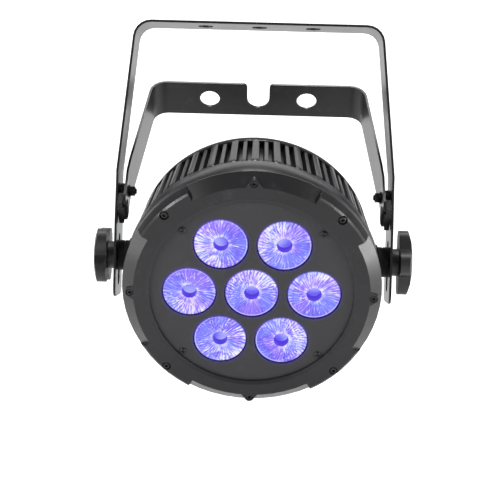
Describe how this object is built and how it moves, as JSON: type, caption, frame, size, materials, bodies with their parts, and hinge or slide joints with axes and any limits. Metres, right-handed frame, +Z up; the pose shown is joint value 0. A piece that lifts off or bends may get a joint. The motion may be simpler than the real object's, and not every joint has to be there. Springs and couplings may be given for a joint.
{
  "type": "par can light",
  "caption": "Round finned stage light with a cluster of glowing lenses behind a scalloped ring, tilting between knobs in a double bent-steel bracket.",
  "frame": {"origin": "centre of the middle clamp hole, on the top face of the hanging bracket's top bar", "axes": "+Z up, the head's front looks along -Y and 25 degrees down, +X to the viewer's right when facing the lenses"},
  "size_m": [0.267, 0.2011, 0.3142],
  "materials": {
    "black_steel": "satin black powder coat on bent steel strip",
    "black_casting": "satin black powder coat on cast aluminium",
    "lens_plate_grey": "fine matte black paint, looking dark grey",
    "black_plastic": "moulded black plastic with a fine grain",
    "black_rubber": "matte black rubber",
    "fastener_steel": "black oxide steel",
    "optic": "clear moulded optic, lit blue-violet from behind",
    "led_board_white": "white solder mask on an aluminium board",
    "circuit_green": "green solder mask on glass-fibre board",
    "display_dark": "smoked clear pane"
  },
  "bodies": {
    "bracket": {"outer_bracket": "black_steel", "left_hinge_stud": "fastener_steel", "left_spacer_washer": "black_plastic", "left_lock_nut": "fastener_steel", "right_hinge_stud": "fastener_steel", "right_spacer_washer": "black_plastic", "right_lock_nut": "fastener_steel"},
    "stand": {"inner_bracket": "black_steel", "left_foot_cap": "black_rubber", "right_foot_cap": "black_rubber"},
    "carriage": {"left_friction_washer": "black_rubber", "right_friction_washer": "black_rubber"},
    "head": {"rear_housing": "black_casting", "front_ring": "black_casting", "lens_plate": "lens_plate_grey", "lens_carrier": "black_plastic", "housing_gasket": "black_rubber", "led_board": "led_board_white", "driver_board": "circuit_green", "power_supply": "circuit_green", "lens_1": "optic", "lens_2": "optic", "lens_3": "optic", "lens_4": "optic", "lens_5": "optic", "lens_6": "optic", "lens_7": "optic", "ring_screw_1": "fastener_steel", "ring_screw_2": "fastener_steel", "ring_screw_3": "fastener_steel", "ring_screw_4": "fastener_steel", "ring_screw_5": "fastener_steel", "ring_screw_6": "fastener_steel", "ring_screw_7": "fastener_steel", "ring_screw_8": "fastener_steel", "plate_screw_1": "fastener_steel", "plate_screw_2": "fastener_steel", "plate_screw_3": "fastener_steel", "plate_screw_4": "fastener_steel", "rear_screw_1": "fastener_steel", "rear_screw_2": "fastener_steel", "rear_screw_3": "fastener_steel", "rear_screw_4": "fastener_steel", "rear_cover": "black_casting", "display_window": "display_dark", "power_inlet": "black_plastic", "power_outlet": "black_plastic", "data_inlet": "black_plastic", "data_outlet": "black_plastic", "vent_plug": "black_plastic", "safety_eye": "black_steel"},
    "left_knob": {"left_clamp_knob": "black_plastic", "left_clamp_bolt": "fastener_steel"},
    "right_knob": {"right_clamp_knob": "black_plastic", "right_clamp_bolt": "fastener_steel"},
    "button_1": {"menu_button_1": "black_plastic"},
    "button_2": {"menu_button_2": "black_plastic"},
    "button_3": {"menu_button_3": "black_plastic"},
    "button_4": {"menu_button_4": "black_plastic"}
  },
  "joints": [
    {"name": "stand_swing", "type": "hinge", "parent": "bracket", "child": "stand", "pos_m": [0, 0, -0.1415], "axis": [1, 0, 0], "range_deg": [-45, 45]},
    {"name": "slot_slide", "type": "slide", "parent": "bracket", "child": "carriage", "axis": [0, 0, 1], "range_m": [-0.019, 0.013]},
    {"name": "head_tilt", "type": "hinge", "parent": "carriage", "child": "head", "pos_m": [0, 0, -0.1955], "axis": [1, 0, 0], "range_deg": [-65, 100]},
    {"name": "left_knob_turn", "type": "hinge", "parent": "head", "child": "left_knob", "pos_m": [0, 0, -0.1955], "axis": [1, 0, 0], "continuous": true},
    {"name": "right_knob_turn", "type": "hinge", "parent": "head", "child": "right_knob", "pos_m": [0, 0, -0.1955], "axis": [1, 0, 0], "continuous": true},
    {"name": "button_1_press", "type": "slide", "parent": "head", "child": "button_1", "axis": [0, -0.9063, -0.4226], "range_m": [0, 0.0012], "stiffness_N_per_m": 400, "springref_m": -0.001},
    {"name": "button_2_press", "type": "slide", "parent": "head", "child": "button_2", "axis": [0, -0.9063, -0.4226], "range_m": [0, 0.0012], "stiffness_N_per_m": 400, "springref_m": -0.001},
    {"name": "button_3_press", "type": "slide", "parent": "head", "child": "button_3", "axis": [0, -0.9063, -0.4226], "range_m": [0, 0.0012], "stiffness_N_per_m": 400, "springref_m": -0.001},
    {"name": "button_4_press", "type": "slide", "parent": "head", "child": "button_4", "axis": [0, -0.9063, -0.4226], "range_m": [0, 0.0012], "stiffness_N_per_m": 400, "springref_m": -0.001}
  ]
}
